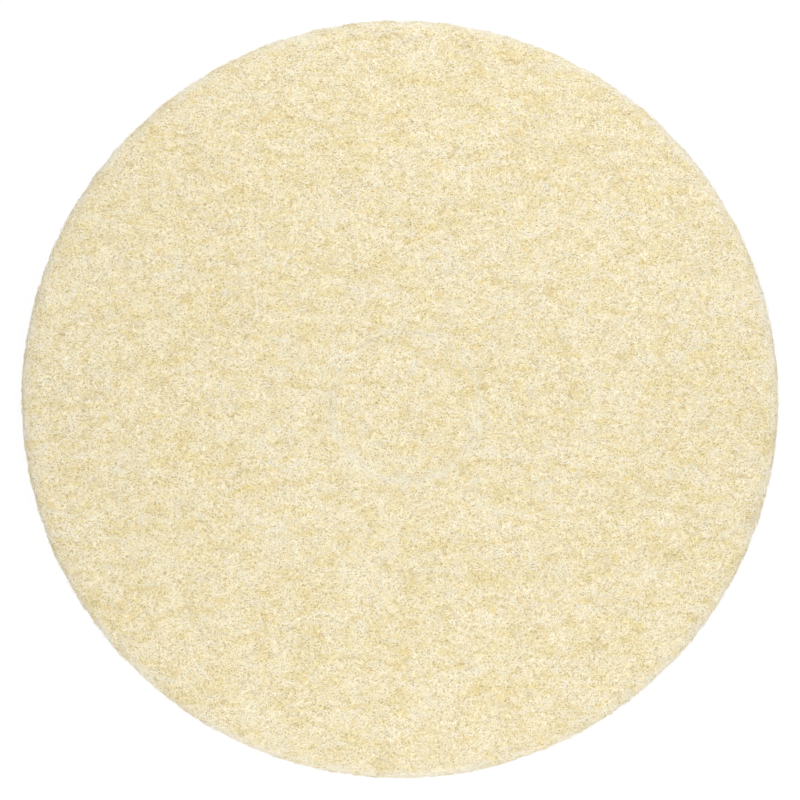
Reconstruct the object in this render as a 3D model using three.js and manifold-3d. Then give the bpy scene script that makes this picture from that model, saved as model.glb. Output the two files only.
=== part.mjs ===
// Floor polishing pad: one round, die-cut disc of lofty nonwoven web, lying flat.
// Millimetres, +Z up. The origin is the middle of the lower face, which rests on the floor.
// The upper face is the one that the floor machine's pad driver grips.
import * as THREE from "three";
import { mergeVertices } from "three/addons/utils/BufferGeometryUtils.js";
import Module from "manifold-3d";

const wasm = await Module();
wasm.setup();

// Driving dimensions of the disc: a 17 inch pad, 1 inch thick
const PAD_DIAMETER = 432;
const PAD_THICKNESS = 25;

// The die presses in from above, so it rolls the upper edge over further than the lower one.
const UPPER_ROLL_WIDTH = 10;
const UPPER_ROLL_DEPTH = 5;
const LOWER_ROLL_WIDTH = 3;
const LOWER_ROLL_DEPTH = 2;

// The centre plug is cut round but left in, and hangs on a few uncut bridges until it is pushed out.
// Its cut sits a little off the middle of the pad.
const PLUG_DIAMETER = 85;
const PLUG_OFFSET_X = 3.2;
const PLUG_OFFSET_Y = -4;
const KERF_WIDTH = 0.8;
const BRIDGE_COUNT = 4;
const BRIDGE_WIDTH = 6;
const FIRST_BRIDGE_ANGLE = Math.PI / 4;

// The web rolls down into the cut on both sides, which leaves a shallow groove in the upper face.
const GROOVE_WIDTH = 7;
const GROOVE_DEPTH = 1;

// Fineness of the facets
const RIM_FACETS = 144;
const CUT_FACETS = 96;
const ROLL_STEPS = 5;

// How far a cutting body runs past the faces that it cuts
const CUTTER_OVERRUN = 2;

// Colour of the cream web
const WEB_COLOUR = 0xefe1bc;

// Points of a rolled edge, a quarter ellipse. It runs from the flat face, a width in from the
// corner, over to the wall, a depth down from the corner.
function rolledEdge(width, depth) {
  const points = [];
  for (let step = 0; step <= ROLL_STEPS; step++) {
    const turn = (step / ROLL_STEPS) * (Math.PI / 2);
    points.push({
      inFromWall: width * (1 - Math.sin(turn)),
      downFromFace: depth * (1 - Math.cos(turn)),
    });
  }
  return points;
}

// A solid of revolution about Z. The outline is in (radius, height) and runs anticlockwise.
function revolved(outline, facets) {
  const profile = outline.map(([radius, height]) => new THREE.Vector2(radius, height));
  return new THREE.LatheGeometry(profile, facets).rotateX(Math.PI / 2);
}

function toSolid(geometry) {
  const bare = geometry.clone();
  bare.deleteAttribute("normal");
  bare.deleteAttribute("uv");
  const merged = mergeVertices(bare);
  return new wasm.Manifold(
    new wasm.Mesh({
      numProp: 3,
      vertProperties: new Float32Array(merged.attributes.position.array),
      triVerts: new Uint32Array(merged.index.array),
    }),
  );
}

function toGeometry(solid) {
  const { vertProperties, triVerts } = solid.getMesh();
  const shared = new THREE.BufferGeometry();
  shared.setAttribute("position", new THREE.BufferAttribute(vertProperties, 3));
  shared.setIndex(new THREE.BufferAttribute(triVerts, 1));
  const faceted = shared.toNonIndexed();
  faceted.computeVertexNormals();
  return faceted;
}

// The whole disc, with its upper and lower edges rolled over
function discSolid() {
  const radius = PAD_DIAMETER / 2;
  const lowerEdge = rolledEdge(LOWER_ROLL_WIDTH, LOWER_ROLL_DEPTH).map(
    (p) => [radius - p.inFromWall, p.downFromFace],
  );
  const upperEdge = rolledEdge(UPPER_ROLL_WIDTH, UPPER_ROLL_DEPTH).map(
    (p) => [radius - p.inFromWall, PAD_THICKNESS - p.downFromFace],
  );
  const outline = [[0, 0], ...lowerEdge, ...upperEdge.reverse(), [0, PAD_THICKNESS]];
  return toSolid(revolved(outline, RIM_FACETS));
}

// The groove over the cut: two rolled lips that meet at its bottom
function grooveCutter() {
  const radius = PLUG_DIAMETER / 2;
  const lip = rolledEdge(GROOVE_WIDTH / 2, GROOVE_DEPTH);
  const outerLip = lip.map((p) => [radius + p.inFromWall, PAD_THICKNESS - p.downFromFace]);
  const innerLip = lip.map((p) => [radius - p.inFromWall, PAD_THICKNESS - p.downFromFace]);
  const above = PAD_THICKNESS + CUTTER_OVERRUN;
  const outline = [
    ...innerLip,
    ...outerLip.reverse().slice(1),
    [radius + GROOVE_WIDTH / 2, above],
    [radius - GROOVE_WIDTH / 2, above],
  ];
  outline.push(outline[0]);
  return toSolid(revolved(outline, CUT_FACETS));
}

// One slot of the cut, from the end of one bridge to the start of the next, right through the web
function slotCutter(firstBridge, nextBridge) {
  const radius = PLUG_DIAMETER / 2;
  const halfBridge = BRIDGE_WIDTH / 2 / radius;
  const start = firstBridge + halfBridge;
  const end = nextBridge - halfBridge;
  const slot = new THREE.Shape();
  slot.absarc(0, 0, radius + KERF_WIDTH / 2, start, end, false);
  slot.absarc(0, 0, radius - KERF_WIDTH / 2, end, start, true);
  const body = new THREE.ExtrudeGeometry(slot, {
    depth: PAD_THICKNESS + 2 * CUTTER_OVERRUN,
    curveSegments: Math.ceil(CUT_FACETS / BRIDGE_COUNT),
    bevelEnabled: false,
  });
  return toSolid(body.translate(0, 0, -CUTTER_OVERRUN));
}

function plugCutters() {
  const bridgePitch = (2 * Math.PI) / BRIDGE_COUNT;
  const cutters = [grooveCutter()];
  for (let i = 0; i < BRIDGE_COUNT; i++) {
    const bridge = FIRST_BRIDGE_ANGLE + i * bridgePitch;
    cutters.push(slotCutter(bridge, bridge + bridgePitch));
  }
  return cutters.map((cutter) => cutter.translate([PLUG_OFFSET_X, PLUG_OFFSET_Y, 0]));
}

function padSolid() {
  return plugCutters().reduce((pad, cutter) => pad.subtract(cutter), discSolid());
}

const webMaterial = new THREE.MeshStandardMaterial({
  color: WEB_COLOUR,
  roughness: 0.95,
  metalness: 0,
});

const polishingPad = new THREE.Mesh(toGeometry(padSolid()), webMaterial);
polishingPad.name = "polishing_pad";

const part = new THREE.Group();
part.add(polishingPad);

export default part;
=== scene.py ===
"""A floor polishing pad: a disc of crinkled cream fibres, seen from straight above."""

import math

import bpy
import numpy as np
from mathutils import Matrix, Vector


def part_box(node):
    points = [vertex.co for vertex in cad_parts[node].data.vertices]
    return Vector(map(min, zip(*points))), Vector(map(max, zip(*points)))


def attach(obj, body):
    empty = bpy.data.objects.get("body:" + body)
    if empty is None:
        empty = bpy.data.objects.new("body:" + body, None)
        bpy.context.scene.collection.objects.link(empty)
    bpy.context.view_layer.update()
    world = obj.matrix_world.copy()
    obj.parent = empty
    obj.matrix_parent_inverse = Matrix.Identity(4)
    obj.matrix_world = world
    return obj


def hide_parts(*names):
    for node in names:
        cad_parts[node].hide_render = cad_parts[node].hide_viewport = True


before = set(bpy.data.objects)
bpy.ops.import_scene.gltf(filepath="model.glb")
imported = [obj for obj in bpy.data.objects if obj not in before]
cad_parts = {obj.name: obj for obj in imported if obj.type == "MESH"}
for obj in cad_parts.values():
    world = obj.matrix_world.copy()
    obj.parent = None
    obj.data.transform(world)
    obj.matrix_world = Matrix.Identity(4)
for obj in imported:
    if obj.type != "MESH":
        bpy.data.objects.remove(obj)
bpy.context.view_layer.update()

# Sizes are in millimetres until a mesh, a lamp or the camera is made
MM = 0.001
pad_low, pad_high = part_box("polishing_pad")
RADIUS = (pad_high.x - pad_low.x) / 2 / MM
THICKNESS = (pad_high.z - pad_low.z) / MM

# The rolled edges and the partly cut centre plug, as the solid has them
UPPER_ROLL_WIDTH = 10
UPPER_ROLL_DEPTH = 5
LOWER_ROLL_WIDTH = 3
LOWER_ROLL_DEPTH = 2
PLUG_RADIUS = 42.5
PLUG_OFFSET = np.array((3.2, -4.0))
GROOVE_WIDTH = 7
BRIDGE_COUNT = 4
BRIDGE_WIDTH = 6
FIRST_BRIDGE_ANGLE = math.pi / 4

# The web is laid along this direction, a little down to the right in the picture
LAY_ANGLE = math.radians(-15)

# The matted core of the web: how far inside the faces it lies, and how far apart its rings are
CORE_INSET = 0.4
CORE_SPACING = 2.2
ROLL_SPACING = 2.0
FIRST_RING_RUN = 2.0

# A loose fibre's thickness and path
FIBRE_RADIUS = 0.17
FIBRE_STEP = 1.25
FIBRE_POINTS = 14
CRIMP_LENGTH = 5.6
CRIMP_SWING = math.radians(62)
HEADING_SPREAD = 1.1
WEAVE_SWING = 0.2

# How far a fibre's path lies above the mean surface, at least and at most, before it weaves
LOW_LIFT = -0.35
HIGH_LIFT = 0.2
WALL_LIFT = 0.4
UNDER_LOW_LIFT = -0.6
UNDER_HIGH_LIFT = -0.3

# Tones of the fibres, from 0, tan, to 1, near white
MEAN_TONE = 0.75
TONE_SPREAD = 0.3

# How far fibres of the upper face start beyond it, on its rolled edge
FACE_OVERLAP = 6

# How many fibres each piece has
UPPER_PIECES = 4
UPPER_FIBRES = 2080
WALL_FIBRES = 2080
LOWER_FIBRES = 1600
CUT_FIBRES = 160

# The springy web closes the cut again, all but a hair, and fills most of the groove over it
SHOWN_KERF_WIDTH = 0.008
SHOWN_GROOVE_DEPTH = 0.35

# The web is paler along the cut, most at the front, and at the rim, most at the top. Both are partly matted
# web and partly painted light: at the cut strongest at the front, at the rim standing in for light from the
# white floor round the pad.
CUT_PALING_WIDTH = 2.6
CUT_PALING = 0.9
BACK_OF_CUT_SHARE = 0.5
RIM_PALING_WIDTH = 7
RIM_PALING = 0.55
FOOT_OF_RIM_SHARE = 0.4

SEED = 17


# Surface of the pad


def groove_dip(off_cut):
    """How far the web dips into the groove, a distance off the cut."""
    turn = np.clip(off_cut / (GROOVE_WIDTH / 2), 0, 1) * math.pi
    return SHOWN_GROOVE_DEPTH * (1 + np.cos(turn)) / 2


def rolled_points(width, depth, count):
    """Points (in from the wall, down from the face) of a rolled edge, from the face to the wall."""
    turn = np.linspace(0, math.pi / 2, count)
    return np.stack([width * (1 - np.sin(turn)), depth * (1 - np.cos(turn))], 1)


def half_section(face_first):
    """(radius, height, arc length) down one side of the pad, from the middle of a face to the far roll."""
    upper = rolled_points(UPPER_ROLL_WIDTH, UPPER_ROLL_DEPTH, 24)
    lower = rolled_points(LOWER_ROLL_WIDTH, LOWER_ROLL_DEPTH, 12)
    upper_line = np.stack([RADIUS - upper[:, 0], THICKNESS - upper[:, 1]], 1)
    lower_line = np.stack([RADIUS - lower[:, 0], lower[:, 1]], 1)
    if face_first == "upper":
        line = np.concatenate([[[0, THICKNESS]], upper_line, lower_line[::-1]])
    else:
        line = np.concatenate([[[0, 0]], lower_line, upper_line[::-1]])
    steps = np.hypot(*np.diff(line, axis=0).T)
    return line[:, 0], line[:, 1], np.concatenate([[0], np.cumsum(steps)])


def noise(x, y, cell, seed):
    """Smooth random values from -1 to 1 over a plane, with one lump about a cell wide."""
    size = 256
    table = np.random.default_rng(SEED + seed).uniform(-1, 1, (size, size))
    column = np.floor(x / cell).astype(int)
    row = np.floor(y / cell).astype(int)
    along = x / cell - column
    across = y / cell - row
    along = along * along * (3 - 2 * along)
    across = across * across * (3 - 2 * across)
    left = table[row % size, column % size] * (1 - across) + table[(row + 1) % size, column % size] * across
    right = (
        table[row % size, (column + 1) % size] * (1 - across)
        + table[(row + 1) % size, (column + 1) % size] * across
    )
    return left * (1 - along) + right * along


def streaks(x, y, length, width, seed):
    """Noise drawn out along the lay of the web."""
    along = x * math.cos(LAY_ANGLE) + y * math.sin(LAY_ANGLE)
    across = y * math.cos(LAY_ANGLE) - x * math.sin(LAY_ANGLE)
    return noise(along / length, across / width, 1.0, seed)


def lumps(x, y):
    """How far the soft web stands above its mean face."""
    return (
        0.06 * noise(x, y, 17.0, 1)
        + 0.05 * noise(x, y, 7.0, 2)
        + 0.05 * streaks(x, y, 26.0, 6.0, 3)
        + 0.05 * noise(x, y, 3.4, 4)
    )


def from_ring(x, y):
    """Distance out from the cut of the centre plug."""
    return np.hypot(x - PLUG_OFFSET[0], y - PLUG_OFFSET[1]) - PLUG_RADIUS


class Side:
    """One face of the pad and the wall, unrolled flat: x and y there are distances over the web."""

    def __init__(self, face):
        self.face = face
        self.radius, self.height, self.run = half_section(face)

    def place(self, x, y, lift):
        """Points and outward normals, a lift above the mean surface."""
        run = np.maximum(np.hypot(x, y), 1e-6)
        radius = np.interp(run, self.run, self.radius)
        height = np.interp(run, self.run, self.height)
        nudge = 0.2
        ahead = np.interp(run + nudge, self.run, self.radius) - np.interp(run - nudge, self.run, self.radius)
        climb = np.interp(run + nudge, self.run, self.height) - np.interp(run - nudge, self.run, self.height)
        length = np.maximum(np.hypot(ahead, climb), 1e-9)
        outward = np.abs(climb) / length
        upward = ahead / length * (1 if self.face == "upper" else -1)
        lift = lift + lumps(x, y)
        if self.face == "upper":
            lift = lift - groove_dip(np.abs(from_ring(x, y)))
        cosine, sine = x / run, y / run
        normal = np.stack([outward * cosine, outward * sine, upward], -1)
        point = np.stack([radius * cosine, radius * sine, height], -1)
        return point + normal * lift[..., None], normal


UPPER = Side("upper")
LOWER = Side("lower")
ROLL_RUN = RADIUS - UPPER_ROLL_WIDTH
WALL_RUN = float(np.interp(THICKNESS - UPPER_ROLL_DEPTH, UPPER.height[::-1], UPPER.run[::-1]))
FOOT_RUN = float(np.interp(LOWER_ROLL_DEPTH, UPPER.height[::-1], UPPER.run[::-1]))
LOWER_FLAT_RUN = RADIUS - LOWER_ROLL_WIDTH


# Matted core of the web, one closed mesh


class Rings:
    """Rings of points, joined in order into a surface. A ring may have twice the points of the last."""

    def __init__(self):
        self.points = []
        self.faces = []

    def ring(self, points):
        first = len(self.points)
        self.points.extend(points)
        return range(first, first + len(points))

    def join(self, inner, outer, kept=None):
        """Faces from one ring to the next out. kept says which of the outer ring's cells are made."""
        count = len(outer)
        ratio = count // len(inner)
        for i in range(count):
            if kept is not None and not kept[i]:
                continue
            following = (i + 1) % count
            if ratio == 1:
                self.faces.append((inner[i], outer[i], outer[following], inner[following]))
            elif i % 2 == 0:
                self.faces.append((inner[i // 2], outer[i], outer[following]))
            else:
                ahead = inner[(i // 2 + 1) % len(inner)]
                self.faces.append((inner[i // 2], outer[i], outer[following], ahead))

    def cap(self, point, ring):
        middle = len(self.points)
        self.points.append(point)
        for i in range(len(ring)):
            self.faces.append((middle, ring[i], ring[(i + 1) % len(ring)]))

    def slot_walls(self, upper, lower, kept):
        """Walls round each stretch of cells left out between two rings of the upper and the lower face."""
        count = len(kept)
        for i in range(count):
            following = (i + 1) % count
            if not kept[i]:
                self.faces.append((upper[0][i], upper[0][following], lower[0][following], lower[0][i]))
                self.faces.append((upper[1][following], upper[1][i], lower[1][i], lower[1][following]))
            if kept[i] and not kept[following]:
                self.faces.append(
                    (upper[0][following], lower[0][following], lower[1][following], upper[1][following])
                )
            if kept[following] and not kept[i]:
                self.faces.append(
                    (upper[1][following], lower[1][following], lower[0][following], upper[0][following])
                )


def ring_counts(run):
    """How many points a ring has: more further out, so that cells stay small."""
    for limit, count in ((4, 12), (9, 24), (18, 48), (PLUG_RADIUS - SHOWN_KERF_WIDTH, 96), (74, 192)):
        if run < limit:
            return count
    return 384


def ring_points(side, run):
    """One ring of the core. Rings near the plug are centred on it, and rings near the rim on the pad."""
    count = ring_counts(run)
    turn = np.arange(count) * 2 * math.pi / count
    near_plug = 1 - np.clip((run - PLUG_RADIUS - GROOVE_WIDTH) / 120, 0, 1)
    x = run * np.cos(turn) + PLUG_OFFSET[0] * near_plug
    y = run * np.sin(turn) + PLUG_OFFSET[1] * near_plug
    points, _ = side.place(x, y, np.full(count, -CORE_INSET))
    points[:, 2] = np.maximum(points[:, 2], CORE_INSET / 2)
    return [tuple(p) for p in points * MM]


def between(first, last, spacing):
    """Evenly spaced runs from first up to last, which is left out."""
    steps = max(1, round((last - first) / spacing))
    return [first + (last - first) * i / steps for i in range(steps)]


def bridged_cells(count):
    """For each cell of the ring at the cut, whether a bridge of uncut web crosses it."""
    middle = (np.arange(count) + 0.5) * 2 * math.pi / count
    pitch = 2 * math.pi / BRIDGE_COUNT
    off = (middle - FIRST_BRIDGE_ANGLE + pitch / 2) % pitch - pitch / 2
    return np.abs(off) * PLUG_RADIUS < BRIDGE_WIDTH / 2


def core_rings(rings, side, spacing, last_run):
    """Joins the rings of one face, and returns the outermost, the two at the cut and the bridged cells."""
    inner_cut = PLUG_RADIUS - SHOWN_KERF_WIDTH / 2
    outer_cut = PLUG_RADIUS + SHOWN_KERF_WIDTH / 2
    runs = between(FIRST_RING_RUN, inner_cut, spacing) + [inner_cut]
    runs += between(outer_cut, ROLL_RUN, spacing)
    runs += between(ROLL_RUN, last_run, ROLL_SPACING) + [last_run]
    rows = [rings.ring(ring_points(side, run)) for run in runs]
    rings.cap((PLUG_OFFSET[0] * MM, PLUG_OFFSET[1] * MM, rings.points[rows[0][0]][2]), rows[0])
    kept = bridged_cells(ring_counts(outer_cut))
    for k in range(1, len(rows)):
        at_cut = runs[k] == outer_cut
        rings.join(rows[k - 1], rows[k], kept if at_cut else None)
    cut = runs.index(outer_cut)
    return rows[-1], (rows[cut - 1], rows[cut]), kept


def core_mesh():
    rings = Rings()
    upper_last, upper_cut, kept = core_rings(rings, UPPER, CORE_SPACING, FOOT_RUN)
    upper_faces = len(rings.faces)
    lower_last, lower_cut, _ = core_rings(rings, LOWER, 2 * CORE_SPACING, LOWER_FLAT_RUN)
    rings.faces[upper_faces:] = [tuple(reversed(face)) for face in rings.faces[upper_faces:]]
    for i in range(len(upper_last)):
        following = (i + 1) % len(upper_last)
        rings.faces.append((upper_last[i], lower_last[i], lower_last[following], upper_last[following]))
    smooth_faces = len(rings.faces)
    rings.slot_walls(upper_cut, lower_cut, kept)
    mesh = bpy.data.meshes.new("web_core")
    mesh.from_pydata(rings.points, [], rings.faces)
    mesh.polygons.foreach_set("use_smooth", np.arange(len(mesh.polygons)) < smooth_faces)
    return mesh


# Loose fibres, each a thin closed tube


def scattered(rng, count, low_run, high_run):
    """Places spread evenly over the unrolled face, between two distances from its middle."""
    run = np.sqrt(rng.uniform(low_run**2, high_run**2, count))
    turn = rng.uniform(0, 2 * math.pi, count)
    return run * np.cos(turn), run * np.sin(turn)


def crinkled_walk(rng, x, y, heading):
    """Paths over the unrolled face from each start: a heading that swings to and fro on two wave lengths."""
    count = len(x)
    run = np.arange(FIBRE_POINTS - 1) * FIBRE_STEP
    phase = rng.uniform(0, 2 * math.pi, (2, count, 1))
    length = CRIMP_LENGTH * rng.uniform(0.75, 1.35, (count, 1))
    swing = CRIMP_SWING * rng.uniform(0.6, 1.25, (count, 1))
    turn = heading[:, None] + swing * np.sin(2 * math.pi * run / length + phase[0])
    turn = turn + 0.6 * swing * np.sin(2 * math.pi * run / (2.7 * length) + phase[1])
    far_x = np.concatenate([np.zeros((count, 1)), np.cumsum(FIBRE_STEP * np.cos(turn), 1)], 1)
    far_y = np.concatenate([np.zeros((count, 1)), np.cumsum(FIBRE_STEP * np.sin(turn), 1)], 1)
    return x[:, None] + far_x, y[:, None] + far_y


def weaving_lift(rng, shape, low, high):
    """Height of each path point above the mean face. A fibre dives under others and ends in the web."""
    count, points = shape
    run = np.arange(points) * FIBRE_STEP
    length = rng.uniform(5.5, 10.0, (count, 1))
    phase = rng.uniform(0, 2 * math.pi, (count, 1))
    lift = rng.uniform(low, high, (count, 1)) + WEAVE_SWING * np.sin(2 * math.pi * run / length + phase)
    lift[:, 0] -= CORE_INSET
    lift[:, -1] -= CORE_INSET
    return lift


def tubes(name, points, normals, tones, radius):
    """One mesh of closed three-sided tubes with pointed ends, along paths of equal length.

    Each has one flat side, turned outward: a rounded one looks darker than a real, translucent fibre.
    """
    count, length, _ = points.shape
    along = np.gradient(points, axis=1)
    along /= np.maximum(np.linalg.norm(along, axis=2, keepdims=True), 1e-9)
    side = np.cross(along, normals)
    side /= np.maximum(np.linalg.norm(side, axis=2, keepdims=True), 1e-9)
    lift = np.cross(side, along)
    corner_angles = -math.pi / 2 + np.arange(3) * 2 * math.pi / 3
    section = np.stack([math.cos(a) * side + math.sin(a) * lift for a in corner_angles], 2)
    body = points[:, 1:-1, None] + section[:, 1:-1] * radius[:, None, None, None]
    middle = length - 2
    per_fibre = middle * 3 + 2
    verts = np.concatenate([body.reshape(count, middle * 3, 3), points[:, :1], points[:, -1:]], 1)
    tone = np.concatenate([np.repeat(tones[:, 1:-1], 3, 1), tones[:, :1], tones[:, -1:]], 1)

    first = (np.arange(count) * per_fibre)[:, None, None]
    k = np.arange(middle - 1)[None, :, None] * 3
    j = np.arange(3)[None, None, :]
    following = (j + 1) % 3
    quads = np.stack(
        [first + k + j, first + k + 3 + j, first + k + 3 + following, first + k + following], -1
    ).reshape(-1, 4)
    start_tip = first + middle * 3 + 0 * j
    end_tip = start_tip + 1
    last = (middle - 1) * 3
    starts = np.stack([start_tip, first + j, first + following], -1).reshape(-1, 3)
    ends = np.stack([end_tip, first + last + following, first + last + j], -1).reshape(-1, 3)

    mesh = bpy.data.meshes.new(name)
    mesh.from_pydata(verts.reshape(-1, 3) * MM, [], quads.tolist() + starts.tolist() + ends.tolist())
    mesh.attributes.new("tone", "FLOAT", "POINT").data.foreach_set("value", tone.ravel().astype(np.float32))
    return mesh


def fibre_tones(rng, x, y):
    """The tone of each point of each fibre."""
    each = rng.normal(MEAN_TONE, TONE_SPREAD, (len(x), 1))
    return np.clip(each + 0.06 * streaks(x, y, 22.0, 7.0, 8) + 0.06 * noise(x, y, 9.0, 9), 0, 1)


def headings(rng, x, y):
    """Headings that follow the lay on the face, and run round the pad on the wall."""
    count = len(x)
    run = np.hypot(x, y)
    lay = LAY_ANGLE + rng.normal(0, HEADING_SPREAD, count)
    around = np.arctan2(y, x) + math.pi / 2 + rng.normal(0, 0.45, count)
    on_wall = rng.uniform(0, 1, count) < np.clip((run - ROLL_RUN) / (WALL_RUN - ROLL_RUN), 0, 1)
    return np.where(on_wall, around, lay)


def face_fibres(name, side, seed, count, runs, lifts, limit_run):
    """Fibres that start between two runs, at heights between two lifts, and stay within a limit."""
    rng = np.random.default_rng(SEED + seed)
    x, y = scattered(rng, count, *runs)
    x, y = crinkled_walk(rng, x, y, headings(rng, x, y))
    run = np.hypot(x, y)
    inward = np.minimum(1, limit_run / np.maximum(run, 1e-6))
    x, y = x * inward, y * inward
    points, normals = side.place(x, y, weaving_lift(rng, x.shape, *lifts))
    # No fibre reaches below the floor that the pad lies on
    points[..., 2] = np.maximum(points[..., 2], FIBRE_RADIUS)
    radius = FIBRE_RADIUS * rng.uniform(0.8, 1.2, count)
    return tubes(name, points, normals, fibre_tones(rng, x, y), radius)


def cut_fibres(name, seed, count):
    """Fibres that cross the cut of the plug at all angles and all but hide it."""
    rng = np.random.default_rng(SEED + seed)
    turn = rng.uniform(0, 2 * math.pi, count)
    heading = rng.uniform(0, 2 * math.pi, count)
    x, y = crinkled_walk(rng, np.zeros(count), np.zeros(count), heading)
    middle = FIBRE_POINTS // 2
    x = x - x[:, middle:middle + 1] + (PLUG_OFFSET[0] + PLUG_RADIUS * np.cos(turn))[:, None]
    y = y - y[:, middle:middle + 1] + (PLUG_OFFSET[1] + PLUG_RADIUS * np.sin(turn))[:, None]
    points, normals = UPPER.place(x, y, weaving_lift(rng, x.shape, LOW_LIFT, HIGH_LIFT))
    return tubes(name, points, normals, fibre_tones(rng, x, y), FIBRE_RADIUS * rng.uniform(0.8, 1.2, count))


# Materials


def node(tree, kind, inputs=None, **settings):
    """Adds a node. An input given as a socket is linked, and any other is set."""
    made = tree.nodes.new(kind)
    for name, value in settings.items():
        setattr(made, name, value)
    for name, value in (inputs or {}).items():
        if isinstance(value, bpy.types.NodeSocket):
            tree.links.new(value, made.inputs[name])
        else:
            made.inputs[name].default_value = value
    return made


def maths(tree, operation, first, second=0.0):
    return node(tree, "ShaderNodeMath", {0: first, 1: second}, operation=operation).outputs[0]


def ramped(tree, value, low, high, start=0.0, end=1.0):
    """A smooth step from start to end as a value goes from low to high."""
    inputs = {"Value": value, "From Min": low, "From Max": high, "To Min": start, "To Max": end}
    return node(tree, "ShaderNodeMapRange", inputs, interpolation_type="SMOOTHSTEP").outputs[0]


def mixed(tree, share, first, second, blend="MIX"):
    inputs = {0: share, 6: first, 7: second}
    made = node(tree, "ShaderNodeMix", inputs, data_type="RGBA", blend_type=blend, clamp_result=False)
    return made.outputs[2]


def cloud(tree, place, cell, stretch=(1, 1, 1), turn=0.0, shift=0.0, detail=1.0, distortion=0.0):
    """Solid noise with lumps about a cell, in millimetres, wide."""
    turned = node(
        tree,
        "ShaderNodeMapping",
        {
            "Vector": place,
            "Location": (shift, shift * 0.37, shift * 0.71),
            "Rotation": (0, 0, turn),
            "Scale": stretch,
        },
    )
    inputs = {
        "Vector": turned.outputs[0],
        "Scale": 1 / (cell * MM),
        "Detail": detail,
        "Roughness": 0.5,
        "Distortion": distortion,
    }
    return node(tree, "ShaderNodeTexNoise", inputs).outputs[0]


def strands(tree, place, cell, turn, shift, width):
    """Crinkled lines where noise crosses its middle value: 1 on a line, 0 in a gap."""
    value = cloud(tree, place, cell, (1, 1.35, 1.6), turn, shift, 1.0, 0.9)
    off = maths(tree, "ABSOLUTE", maths(tree, "SUBTRACT", value, 0.5))
    return ramped(tree, off, 0.0, width, 1.0, 0.0)


# The gap and deep colours are painted shade in the core: the web seen darker between and under the strands.
# The deep colour is also the tannest tone of the loose fibres.
GAP_SHADE_COLOUR = (0.54, 0.435, 0.225, 1)
DEEP_COLOUR = (0.75, 0.63, 0.355, 1)
FIBRE_COLOUR = (0.96, 0.845, 0.57, 1)
PALE_COLOUR = (1.0, 0.94, 0.75, 1)
WHITE_COLOUR = (1.0, 0.975, 0.86, 1)
RESIN_COLOUR = (0.86, 0.71, 0.35, 1)
RESIN_TINT = (0.92, 0.86, 0.60, 1)
RIM_COLOUR = (1.0, 0.97, 0.88, 1)


def level_distance(tree, place, centre):
    """Distance from a vertical axis through a centre, in metres."""
    parts = node(tree, "ShaderNodeSeparateXYZ", {0: place})
    right = maths(tree, "SUBTRACT", parts.outputs[0], centre[0] * MM)
    up = maths(tree, "SUBTRACT", parts.outputs[1], centre[1] * MM)
    level = node(tree, "ShaderNodeCombineXYZ", {0: right, 1: up})
    return node(tree, "ShaderNodeVectorMath", {0: level.outputs[0]}, operation="LENGTH").outputs["Value"]


def stains_and_painted_light(tree, place, colour):
    """Adds resin stains, golden spots and the paler web at the cut and the rim to a colour. The paler web is
    partly matted and partly painted light.
    """
    spots = ramped(tree, cloud(tree, place, 5.0, shift=3.1), 0.62, 0.78, 0.0, 0.8)
    patches = ramped(tree, cloud(tree, place, 12.0, (1, 2.4, 1), -LAY_ANGLE, 5.3, 2.0), 0.42, 0.72, 0.0, 0.5)
    swathes = ramped(tree, cloud(tree, place, 40.0, (1, 2.0, 1), -LAY_ANGLE, 8.9), 0.35, 0.70, 0.0, 0.15)
    tinted = mixed(tree, maths(tree, "ADD", patches, swathes), colour, RESIN_TINT, "MULTIPLY")
    golden = mixed(tree, spots, tinted, RESIN_COLOUR)
    plug_distance = level_distance(tree, place, PLUG_OFFSET)
    off_cut = maths(tree, "ABSOLUTE", maths(tree, "SUBTRACT", plug_distance, PLUG_RADIUS * MM))
    # Paler web along the cut: partly matted web, partly painted light, strongest at the front.
    at_cut = ramped(tree, off_cut, 0.0, CUT_PALING_WIDTH * MM, CUT_PALING, 0.0)
    parts = node(tree, "ShaderNodeSeparateXYZ", {0: place}).outputs
    plug_front = (PLUG_OFFSET[1] - PLUG_RADIUS) * MM
    plug_back = (PLUG_OFFSET[1] + PLUG_RADIUS) * MM
    behind = ramped(tree, parts[1], plug_front, plug_back, 1.0, BACK_OF_CUT_SHARE)
    at_cut = maths(tree, "MULTIPLY", at_cut, behind)
    # Patchy share of the paler web along the cut and at the rim, painted light included.
    patchiness = ramped(tree, cloud(tree, place, 14.0, shift=6.7), 0.4, 0.6, 0.35, 1.0)
    paled_at_cut = mixed(tree, maths(tree, "MULTIPLY", at_cut, patchiness), golden, PALE_COLOUR)
    # Paler web at the rim, most at the top: partly matted web, partly painted light from the white floor
    # round the pad.
    rim_distance = level_distance(tree, place, (0, 0))
    at_rim = ramped(tree, rim_distance, (RADIUS - RIM_PALING_WIDTH) * MM, RADIUS * MM, 0.0, RIM_PALING)
    below = ramped(tree, parts[2], 0.0, THICKNESS * MM, FOOT_OF_RIM_SHARE, 1.0)
    pale_rim = maths(tree, "MULTIPLY", maths(tree, "MULTIPLY", at_rim, below), patchiness)
    return mixed(tree, pale_rim, paled_at_cut, RIM_COLOUR)


def new_material(name, roughness, specular):
    material = bpy.data.materials.new(name)
    material.use_nodes = True
    shader = material.node_tree.nodes["Principled BSDF"]
    shader.inputs["Roughness"].default_value = roughness
    shader.inputs["Specular IOR Level"].default_value = specular
    return material, material.node_tree, shader


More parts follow.
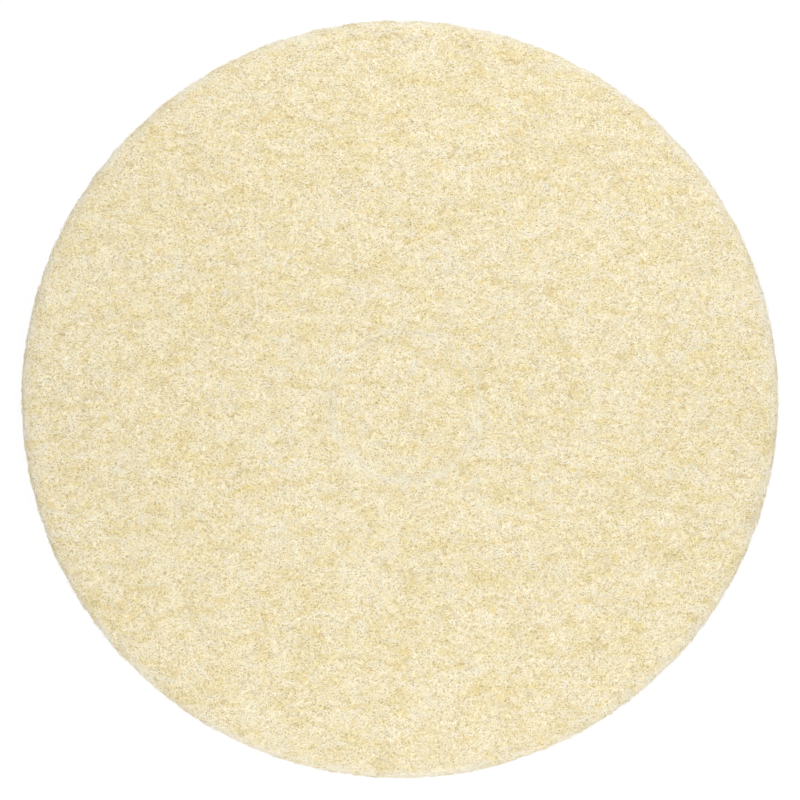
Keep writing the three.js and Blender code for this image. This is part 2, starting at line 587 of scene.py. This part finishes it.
def core_material():
    material, tree, shader = new_material("matted_web", 0.9, 0.2)
    place = node(tree, "ShaderNodeTexCoord").outputs["Object"]
    under = strands(tree, place, 2.0, 0.4, 1.0, 0.12)
    middle = strands(tree, place, 1.8, -0.9, 2.0, 0.11)
    top = strands(tree, place, 1.7, 1.9, 3.0, 0.09)
    # Each strand layer is painted lighter than the one under it: painted shade deeper in the web.
    colour = mixed(tree, under, GAP_SHADE_COLOUR, DEEP_COLOUR)
    colour = mixed(tree, middle, colour, FIBRE_COLOUR)
    colour = mixed(tree, top, colour, PALE_COLOUR)
    tree.links.new(stains_and_painted_light(tree, place, colour), shader.inputs["Base Color"])
    height = maths(tree, "MULTIPLY", under, 0.35)
    height = maths(tree, "MAXIMUM", height, maths(tree, "MULTIPLY", middle, 0.65))
    height = maths(tree, "MAXIMUM", height, top)
    bump = node(tree, "ShaderNodeBump", {"Strength": 1.0, "Distance": 0.1 * MM, "Height": height})
    tree.links.new(bump.outputs[0], shader.inputs["Normal"])
    return material


def fibre_material():
    material, tree, shader = new_material("web_fibre", 0.6, 0.35)
    place = node(tree, "ShaderNodeTexCoord").outputs["Object"]
    tone = node(tree, "ShaderNodeAttribute", attribute_name="tone").outputs["Fac"]
    colour = mixed(tree, ramped(tree, tone, 0.0, 0.5), DEEP_COLOUR, PALE_COLOUR)
    colour = mixed(tree, ramped(tree, tone, 0.5, 1.0), colour, WHITE_COLOUR)
    tree.links.new(stains_and_painted_light(tree, place, colour), shader.inputs["Base Color"])
    shader.inputs["Sheen Weight"].default_value = 0.3
    shader.inputs["Sheen Roughness"].default_value = 0.5
    return material


# Pieces


def add_piece(name, mesh, material):
    piece = bpy.data.objects.new(name, mesh)
    bpy.context.scene.collection.objects.link(piece)
    mesh.materials.append(material)
    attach(piece, "root")
    return piece


def make_pad():
    core = add_piece("web_core", core_mesh(), core_material())
    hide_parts("polishing_pad")
    fibre = fibre_material()
    face_runs = (0, ROLL_RUN + FACE_OVERLAP)
    face_lifts = (LOW_LIFT, HIGH_LIFT)
    for i in range(UPPER_PIECES):
        name = f"upper_fibres_{i + 1}"
        mesh = face_fibres(name, UPPER, 20 + i, UPPER_FIBRES, face_runs, face_lifts, WALL_RUN)
        add_piece(name, mesh, fibre)
    add_piece("cut_fibres", cut_fibres("cut_fibres", 30, CUT_FIBRES), fibre)
    wall_runs = (ROLL_RUN, FOOT_RUN)
    wall_lifts = (LOW_LIFT, WALL_LIFT)
    mesh = face_fibres("wall_fibres", UPPER, 40, WALL_FIBRES, wall_runs, wall_lifts, FOOT_RUN)
    add_piece("wall_fibres", mesh, fibre)
    under_runs = (0, LOWER_FLAT_RUN)
    under_lifts = (UNDER_LOW_LIFT, UNDER_HIGH_LIFT)
    mesh = face_fibres("lower_fibres", LOWER, 50, LOWER_FIBRES, under_runs, under_lifts, LOWER_FLAT_RUN)
    add_piece("lower_fibres", mesh, fibre)


# Floor, light and camera


def seen_directly(tree):
    """1 for a ray from the camera, a mirror or through glass, which all show the white background."""
    path = node(tree, "ShaderNodeLightPath").outputs
    straight = maths(tree, "MAXIMUM", path["Is Camera Ray"], path["Is Glossy Ray"])
    return maths(tree, "MAXIMUM", straight, path["Is Transmission Ray"])


def make_floor():
    half = 10.0
    mesh = bpy.data.meshes.new("floor")
    corners = [(-half, -half, 0), (half, -half, 0), (half, half, 0), (-half, half, 0)]
    mesh.from_pydata(corners, [], [(0, 1, 2, 3)])
    floor = bpy.data.objects.new("floor", mesh)
    bpy.context.scene.collection.objects.link(floor)
    material = bpy.data.materials.new("white_floor")
    material.use_nodes = True
    tree = material.node_tree
    tree.nodes.remove(tree.nodes["Principled BSDF"])
    plain = node(tree, "ShaderNodeBsdfDiffuse", {"Color": (0.8, 0.8, 0.8, 1)})
    faint = node(tree, "ShaderNodeBsdfDiffuse", {"Color": (0.06, 0.06, 0.06, 1)})
    glow = node(tree, "ShaderNodeEmission", {"Color": (0.95, 0.95, 0.95, 1), "Strength": 1.0})
    white = node(tree, "ShaderNodeAddShader", {0: faint.outputs[0], 1: glow.outputs[0]})
    mix = node(
        tree, "ShaderNodeMixShader", {0: seen_directly(tree), 1: plain.outputs[0], 2: white.outputs[0]}
    )
    tree.links.new(mix.outputs[0], tree.nodes["Material Output"].inputs["Surface"])
    mesh.materials.append(material)


# Each source's share of the light on the upper face. They add up to a little over 1, at which a
# plain colour renders as written, because the loose fibres shade one another.
FILL_SHARE = 0.55
KEY_SHARE = 0.31
COUNTER_SHARE = 0.27
KEY_PLACE = (0.15, 0.7, 0.78)
COUNTER_PLACE = (0.05, -0.68, 0.72)
LAMP_SIZE = 0.5


def make_lamp(name, place, share):
    lamp = bpy.data.lights.new(name, "AREA")
    lamp.size = LAMP_SIZE
    slant = math.hypot(*place)
    lamp.energy = share * math.pi**2 * slant**3 / place[2]
    made = bpy.data.objects.new(name, lamp)
    bpy.context.scene.collection.objects.link(made)
    made.location = place
    made.rotation_euler = (-made.location).to_track_quat("-Z", "Y").to_euler()


def make_lights():
    scene = bpy.context.scene
    scene.world = bpy.data.worlds.new("studio")
    scene.world.use_nodes = True
    tree = scene.world.node_tree
    background = tree.nodes["Background"]
    strength = node(
        tree,
        "ShaderNodeMapRange",
        {"Value": seen_directly(tree), "To Min": FILL_SHARE, "To Max": 1.0},
    )
    background.inputs["Color"].default_value = (1, 1, 1, 1)
    tree.links.new(strength.outputs[0], background.inputs["Strength"])
    make_lamp("key", KEY_PLACE, KEY_SHARE)
    make_lamp("counter", COUNTER_PLACE, COUNTER_SHARE)


# The photograph's outline of the pad, in pixels of its 800 x 800 frame
FRAME_PIXELS = 800
OUTLINE_RADIUS_PIXELS = 378.4
OUTLINE_CENTRE_PIXELS = (399.4, 399.0)
FRAME_MIDDLE_PIXELS = (FRAME_PIXELS - 1) / 2
CAMERA_HEIGHT = 1800
SENSOR_WIDTH = 36


def make_camera():
    """A long lens straight above, set so that the pad's outline falls where the photograph has it."""
    scene = bpy.context.scene
    data = bpy.data.cameras.new("camera")
    data.sensor_width = SENSOR_WIDTH
    outline_height = THICKNESS - UPPER_ROLL_DEPTH
    pixels_per_mm = OUTLINE_RADIUS_PIXELS / RADIUS
    data.lens = pixels_per_mm * (CAMERA_HEIGHT - outline_height) * SENSOR_WIDTH / FRAME_PIXELS
    camera = bpy.data.objects.new("camera", data)
    scene.collection.objects.link(camera)
    right = (FRAME_MIDDLE_PIXELS - OUTLINE_CENTRE_PIXELS[0]) / pixels_per_mm
    up = (OUTLINE_CENTRE_PIXELS[1] - FRAME_MIDDLE_PIXELS) / pixels_per_mm
    camera.location = (right * MM, up * MM, CAMERA_HEIGHT * MM)
    scene.camera = camera


make_pad()
make_floor()
make_lights()
make_camera()
bpy.context.scene.view_settings.view_transform = "Standard"
